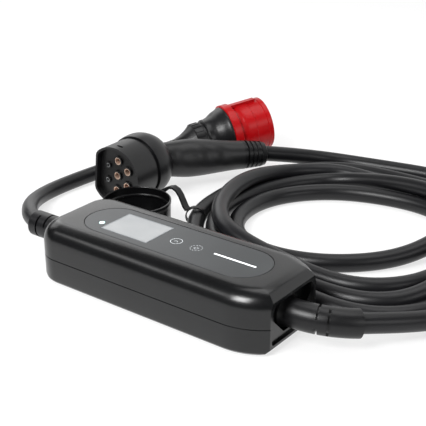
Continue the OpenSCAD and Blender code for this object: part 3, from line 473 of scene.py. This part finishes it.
def settle(line, width, rounds=260):
    """Lets the coil's strands push each other apart and come to rest on the floor and the box."""
    plan = line.copy()
    plan_curve = plan.copy()
    plan_curve[1:-1] = (plan[:-2] + plan[2:]) / 2 - plan[1:-1]
    count = len(line)
    step = np.linalg.norm(np.diff(line, axis=0), axis=1).mean()
    far = int(math.ceil(3.2 * width / step))
    upper = np.triu_indices(count, far)
    apart = width * 1.012
    hold, lead = 6, 12
    push_share, bend_share, plan_share = 0.22, 0.42, 0.012
    for _ in range(rounds):
        gap = line[upper[0]] - line[upper[1]]
        distance = np.linalg.norm(gap, axis=1)
        near = distance < apart
        i, j, g, d = upper[0][near], upper[1][near], gap[near], distance[near]
        push = g / np.maximum(d, 1e-6)[:, None] * ((apart - d) * push_share)[:, None]
        move = np.zeros_like(line)
        np.add.at(move, i, push)
        np.add.at(move, j, -push)
        line[hold:-hold] += move[hold:-hold]
        bend = np.zeros_like(line)
        bend[1:-1] = (line[:-2] + line[2:]) / 2 - line[1:-1] - plan_curve[1:-1]
        line[hold:-hold] += bend[hold:-hold] * bend_share + (plan - line)[hold:-hold] * plan_share
        line[:, 2] = np.maximum(line[:, 2], width / 2)
        side = box_side(line[:, 0]) + width / 2 + BOX_CLEAR
        beside = (line[:, 0] > BOX_BACK_X) & (line[:, 0] < BOX_END_X)
        beside[:lead] = False
        line[:, 1] = np.where(beside, np.maximum(line[:, 1], side), line[:, 1])
    return line


def tube(name, line, diameter, sides=28):
    """A closed tube round a line in millimetres, its UV in metres along and around."""
    p = line * MM
    radius = diameter * MM / 2
    along = np.gradient(p, axis=0)
    along /= np.linalg.norm(along, axis=1)[:, None]
    side = np.cross(along[0], [0, 0, 1.0])
    side /= np.linalg.norm(side)
    work = bmesh.new()
    layer = work.loops.layers.uv.new("UVMap")
    rings, run = [], [0.0]
    for k in range(len(p)):
        side = side - along[k] * side.dot(along[k])
        side /= np.linalg.norm(side)
        rise = np.cross(side, along[k])
        rings.append([work.verts.new(p[k] + radius * (math.cos(t) * side + math.sin(t) * rise))
                      for t in [2 * math.pi * j / sides for j in range(sides)]])
        if k:
            run.append(run[-1] + float(np.linalg.norm(p[k] - p[k - 1])))
    girth = math.pi * diameter * MM
    for k in range(len(p) - 1):
        for j in range(sides):
            n = (j + 1) % sides
            face = work.faces.new((rings[k][j], rings[k][n], rings[k + 1][n], rings[k + 1][j]))
            corners = ((run[k], j), (run[k], j + 1), (run[k + 1], j + 1), (run[k + 1], j))
            for loop, (length, number) in zip(face.loops, corners):
                loop[layer].uv = (length, number / sides * girth)
    work.faces.new(rings[0][::-1])
    work.faces.new(rings[-1])
    bmesh.ops.recalc_face_normals(work, faces=work.faces)
    mesh = bpy.data.meshes.new(name)
    work.to_mesh(mesh)
    work.free()
    smooth(mesh, 50)
    return mesh


# Sizes and colours


class ChargerSizes(bpy.types.PropertyGroup):
    supply_cord: FloatProperty(name="Mains cord", description="Diameter of the mains cord",
                               default=0.0156, unit="LENGTH")
    charge_cord: FloatProperty(name="Vehicle cord", description="Diameter of the vehicle cord",
                               default=0.0165, unit="LENGTH")
    icon_radius: FloatProperty(name="Touch mark", description="Outer radius of a touch mark on the panel",
                               default=0.0052, unit="LENGTH")
    bezel: FloatProperty(name="Bezel", description="Width of the grey edge round the display window",
                         default=0.0011, unit="LENGTH")
    edge: FloatProperty(name="Edge", description="Rounding of the front panel's edge", default=0.00025,
                        unit="LENGTH")
    dashes: IntProperty(name="Dashes", description="Number of dashes round the stop mark",
                        default=12, min=6, max=40)
    nut_ribs: IntProperty(name="Nut ribs", description="Number of grip ribs round the gland nut",
                          default=20, min=8, max=40)


class ChargerColours(bpy.types.PropertyGroup):
    panel: StringProperty(name="Panel", description="Grey of the front panel, sRGB hex",
                          default="#292c2e")
    red: StringProperty(name="Plug shroud", description="Red of the plug's shroud, sRGB hex",
                        default="#9c050a")
    backdrop: FloatVectorProperty(name="Backdrop", description="Colour of floor and backdrop",
                                  subtype="COLOR", size=3, default=(0.95, 0.95, 0.95))


# Operators


class CHARGER_OT_stage(bpy.types.Operator):
    """Camera, floor, backdrop and studio light"""

    bl_idname = "charger.stage"
    bl_label = "Stage"

    def execute(self, context):
        scene = context.scene
        scene.view_settings.view_transform = "Standard"
        forward = Vector(CAMERA_FORWARD).normalized()
        right = Vector(CAMERA_RIGHT).normalized()
        up = right.cross(forward).normalized()
        eye = bpy.data.objects.new("camera", bpy.data.cameras.new("camera"))
        scene.collection.objects.link(eye)
        turn = Matrix((right, up, -forward)).transposed().to_4x4()
        eye.matrix_world = Matrix.Translation(CAMERA_PLACE) @ turn
        eye.data.sensor_width = SENSOR_MM
        eye.data.lens = FOCAL_WIDTHS * SENSOR_MM
        eye.data.clip_end = 30
        scene.camera = eye
        make_finishes()
        self.floor(scene)
        self.lights(scene)
        return {"FINISHED"}

    def floor(self, scene):
        """A floor that curves up into a backdrop, white to the camera and in mirror directions."""
        reach, bend, high, back = 6.0, 1.2, 5.0, 4.0
        rows = [(-reach, 0.0)] + [(back - bend + bend * math.sin(t), bend - bend * math.cos(t))
                                  for t in np.linspace(0, math.pi / 2, 17)] + [(back, high)]
        points = [(x, y, z) for y, z in rows for x in (-reach, reach)]
        faces = [(2 * k, 2 * k + 1, 2 * k + 3, 2 * k + 2) for k in range(len(rows) - 1)]
        floor = bpy.data.objects.new("floor", mesh_of("floor", points, faces))
        if floor.data.polygons[0].normal.z < 0:
            floor.data.flip_normals()
        floor.data.polygons.foreach_set("use_smooth", [True] * len(floor.data.polygons))
        scene.collection.objects.link(floor)
        made = bpy.data.materials.new("matt_painted_floor_white")
        made.use_nodes = True
        tree = made.node_tree
        tree.nodes.clear()
        tone = tuple(scene.charger_colours.backdrop) + (1.0,)
        matt = add(tree, "ShaderNodeBsdfDiffuse", {"Color": tone})
        glow = add(tree, "ShaderNodeEmission", {"Color": (1, 1, 1, 1), "Strength": 1.0})
        path = add(tree, "ShaderNodeLightPath")
        mirrored = add(tree, "ShaderNodeMath",
                       {0: path.outputs["Is Glossy Ray"], 1: path.outputs["Is Transmission Ray"]},
                       operation="MAXIMUM")
        direct = add(tree, "ShaderNodeMath", {0: path.outputs["Is Camera Ray"], 1: 0.68},
                     operation="MULTIPLY")
        share = add(tree, "ShaderNodeMath", {0: mirrored.outputs[0], 1: 0.9, 2: direct.outputs[0]},
                    operation="MULTIPLY_ADD")
        mixed = add(tree, "ShaderNodeMixShader",
                    {0: share.outputs[0], 1: matt.outputs["BSDF"], 2: glow.outputs["Emission"]})
        add(tree, "ShaderNodeOutputMaterial", {"Surface": mixed.outputs["Shader"]})
        floor.data.materials.append(made)

    def lights(self, scene):
        world = bpy.data.worlds.new("studio")
        scene.world = world
        world.use_nodes = True
        tree = world.node_tree
        tree.nodes.clear()
        path = add(tree, "ShaderNodeLightPath")
        # The room in front of the set is dark: mirror directions see little of it.
        level = add(tree, "ShaderNodeMapRange",
                    {"Value": path.outputs["Is Glossy Ray"], "To Min": 0.5, "To Max": 0.05})
        soft = add(tree, "ShaderNodeBackground",
                   {"Color": (1, 1, 1, 1), "Strength": level.outputs["Result"]})
        white = add(tree, "ShaderNodeBackground", {"Color": (1, 1, 1, 1), "Strength": 1.0})
        seen = add(tree, "ShaderNodeMath",
                   {0: path.outputs["Is Camera Ray"], 1: path.outputs["Is Transmission Ray"]},
                   operation="MAXIMUM")
        mixed = add(tree, "ShaderNodeMixShader",
                    {0: seen.outputs[0], 1: soft.outputs["Background"], 2: white.outputs["Background"]})
        add(tree, "ShaderNodeOutputWorld", {"Surface": mixed.outputs["Shader"]})
        for name, (place, aim, size, power) in LAMPS.items():
            lamp = bpy.data.lights.new(name, "AREA")
            lamp.shape = "RECTANGLE"
            lamp.size, lamp.size_y = size
            lamp.energy = power
            spot = bpy.data.objects.new(name, lamp)
            spot.location = place
            spot.rotation_euler = (Vector(aim) - Vector(place)).to_track_quat("-Z", "Y").to_euler()
            scene.collection.objects.link(spot)


class CHARGER_OT_cords(bpy.types.Operator):
    """Mains cord and vehicle cord with its coil"""

    bl_idname = "charger.cords"
    bl_label = "Cords"

    def execute(self, context):
        sizes = context.scene.charger_sizes
        thin, thick = sizes.supply_cord / MM, sizes.charge_cord / MM
        plug_dir = np.array(PLUG_DIR)
        tail = np.array(PLUG_FACE) - PLUG_TAIL * plug_dir
        into_plug = [tuple(tail - s * plug_dir) for s in (42, 20, 0)]
        line = through([*MAINS_ROUTE, *into_plug], CORD_STEP)
        mains = new_piece("mains_cord", tube("mains_cord", line, thin), "sheath",
                          ("supply_cord",))
        route = [*LEAD_FROM_BOX, *(p for turn in COIL_TURNS for p in turn), *LEAD_TO_HANDLE]
        line = eased(settle(eased(through(route, SETTLE_STEP), 16), thick), 8)
        line = through(np.vstack([line[:-1:2], line[-1:]]), CORD_STEP)
        vehicle = new_piece("vehicle_cord", tube("vehicle_cord", line, thick), "sheath",
                            ("charge_cord_lead", "charge_cord_coil", "handle_cord_lead"))
        return {"FINISHED"}


class CHARGER_OT_housing(bpy.types.Operator):
    """Shells of the control box, their gasket and screws"""

    bl_idname = "charger.housing"
    bl_label = "Housing"

    def execute(self, context):
        dress("upper_shell", "housing", angle=24)
        dress("lower_shell", "housing", angle=24)
        paint_node("shell_gasket", "rubber")
        paint_node("housing_screws", "steel")
        return {"FINISHED"}


class CHARGER_OT_panel(bpy.types.Operator):
    """Front panel with its display window, touch marks and lights"""

    bl_idname = "charger.panel"
    bl_label = "Front panel"

    def execute(self, context):
        sizes = context.scene.charger_sizes
        dress("front_panel", "panel", bevel=sizes.edge)
        dress("display_window", "window", bevel=sizes.edge * 0.6)
        paint_node("light_line", "light")
        paint_node("status_lens", "lens")
        low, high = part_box("display_window")
        self.bezel(low, high, sizes.bezel)
        self.start_mark(high.z / MM, sizes.icon_radius / MM)
        self.stop_mark(high.z / MM, sizes.icon_radius / MM, sizes.dashes)
        return {"FINISHED"}

    def start_mark(self, top, outer):
        x, y = START_MARK
        for name, mesh in (
                ("start_mark_ring", arc("start_mark_ring", (x, y, top), outer, 0.5)),
                ("start_mark_bow", arc("start_mark_bow", (x, y - 0.9, top), 1.7, 0.45, -15, 195))):
            new_piece(name, mesh, "icon")

    def stop_mark(self, top, outer, dashes):
        x, y = STOP_MARK
        middle = Matrix.Translation(Vector((x, y, top + PRINT_MIDDLE)) * MM)
        upright = middle @ Matrix.Rotation(math.pi / 2, 4, "Z")
        dash, bar = (0.45, 1.3, PRINT_T), (1.7, 0.4, PRINT_T)
        for name, mesh in (
                ("stop_mark_dashes",
                 ring_of_bars("stop_mark_dashes", dashes, outer - 0.25, dash, "icon", middle)),
                ("stop_mark_bow", arc("stop_mark_bow", (x, y - 0.3, top), 2.0, 0.4, 130, 410)),
                ("stop_mark_bar", ring_of_bars("stop_mark_bar", 1, 1.5, bar, "icon", upright))):
            new_piece(name, mesh, "icon")

    def bezel(self, low, high, width):
        points = []
        for inset in (0.0, width):
            for z in (high.z - 0.00002, high.z + 0.00006):
                for x, y in ((low.x + inset, low.y + inset), (high.x - inset, low.y + inset),
                             (high.x - inset, high.y - inset), (low.x + inset, high.y - inset)):
                    points.append((x, y, z))
        faces = []
        for a, b in ((0, 4), (4, 12), (12, 8), (8, 0)):
            for k in range(4):
                n = (k + 1) % 4
                faces.append((a + k, a + n, b + n, b + k))
        mesh = mesh_of("window_bezel", points, faces)
        new_piece("window_bezel", mesh, "bezel")


class CHARGER_OT_boots(bpy.types.Operator):
    """Boots where the cords leave the box"""

    bl_idname = "charger.boots"
    bl_label = "Boots"

    def execute(self, context):
        for node in ("supply_boot", "charge_boot"):
            dress(node, "rubber", angle=28)
        return {"FINISHED"}


class CHARGER_OT_plug(bpy.types.Operator):
    """Five-pin mains plug"""

    bl_idname = "charger.plug"
    bl_label = "Mains plug"

    def execute(self, context):
        for node, finish, slot in (
                ("plug_rear_cone", "nylon", "black_plastic"), ("plug_gland_nut", "nylon", "black_plastic"),
                ("plug_body", "nylon", "black_plastic"), ("plug_shroud", "red", "red_plastic"),
                ("plug_pin_carrier", "insulator", "insulator"), ("plug_line_pins", "pin", "pin_metal"),
                ("plug_earth_pin", "pin", "pin_metal")):
            dress(node, finish, angle=30)
        along = Vector(PLUG_DIR)
        turn = along.to_track_quat("Z", "Y").to_matrix().to_4x4()
        place = Matrix.Translation((Vector(PLUG_FACE) - along * NUT_MIDDLE) * MM) @ turn
        ribs = ring_of_bars("gland_nut_ribs", context.scene.charger_sizes.nut_ribs, 20.8, (1.6, 1.7, 8.6),
                            "nylon", place)
        new_piece("gland_nut_ribs", ribs, "nylon")
        return {"FINISHED"}


class CHARGER_OT_connector(bpy.types.Operator):
    """Vehicle connector with its handle"""

    bl_idname = "charger.connector"
    bl_label = "Vehicle connector"

    def execute(self, context):
        for node, finish, slot, angle in (("connector_shroud", "nylon", "black_plastic", 30),
                                          ("connector_insert", "insulator", "insulator", 30),
                                          ("power_contacts", "contact", "contact_metal", 30),
                                          ("signal_contacts", "steel", "contact_metal", 30),
                                          ("connector_collar", "nylon", "black_plastic", 30),
                                          ("handle_grip", "grip", "grip_plastic", 55),
                                          ("handle_end_boot", "rubber", "grip_plastic", 30)):
            dress(node, finish, angle=angle)
        return {"FINISHED"}


class CHARGER_OT_cap(bpy.types.Operator):
    """Dust cap and its strap"""

    bl_idname = "charger.cap"
    bl_label = "Dust cap"

    def execute(self, context):
        dress("dust_cap", "cap", angle=30)
        dress("cap_strap", "rubber", angle=50)
        return {"FINISHED"}


class CHARGER_OT_inside(bpy.types.Operator):
    """Parts inside the control box"""

    bl_idname = "charger.inside"
    bl_label = "Inside"

    def execute(self, context):
        for node, finish in (
                ("display_module", "board"), ("circuit_board", "board"), ("board_screws", "steel"),
                ("relays", "component"), ("current_sensor", "copper"), ("power_supply_block", "insulator"),
                ("terminal_blocks", "component"), ("capacitors", "component"), ("supply_leads", "copper"),
                ("charge_leads", "copper")):
            paint_node(node, finish)
        return {"FINISHED"}


class CHARGER_PT_panel(bpy.types.Panel):
    bl_label = "Charger"
    bl_idname = "CHARGER_PT_panel"
    bl_space_type = "VIEW_3D"
    bl_region_type = "UI"
    bl_category = "Charger"

    def draw(self, context):
        layout = self.layout
        for group in (context.scene.charger_sizes, context.scene.charger_colours):
            for key in group.__annotations__:
                layout.prop(group, key)
        for step in STEPS:
            layout.operator(step.bl_idname)


STEPS = (CHARGER_OT_stage, CHARGER_OT_housing, CHARGER_OT_panel, CHARGER_OT_boots, CHARGER_OT_plug,
         CHARGER_OT_connector, CHARGER_OT_cap, CHARGER_OT_inside, CHARGER_OT_cords)
CLASSES = (ChargerSizes, ChargerColours, *STEPS, CHARGER_PT_panel)


def register():
    for cls in CLASSES:
        bpy.utils.register_class(cls)
    bpy.types.Scene.charger_sizes = PointerProperty(type=ChargerSizes)
    bpy.types.Scene.charger_colours = PointerProperty(type=ChargerColours)


def unregister():
    del bpy.types.Scene.charger_colours
    del bpy.types.Scene.charger_sizes
    for cls in reversed(CLASSES):
        bpy.utils.unregister_class(cls)


def main():
    register()
    for step in STEPS:
        group, action = step.bl_idname.split(".")
        getattr(getattr(bpy.ops, group), action)()


if __name__ == "__main__":
    main()
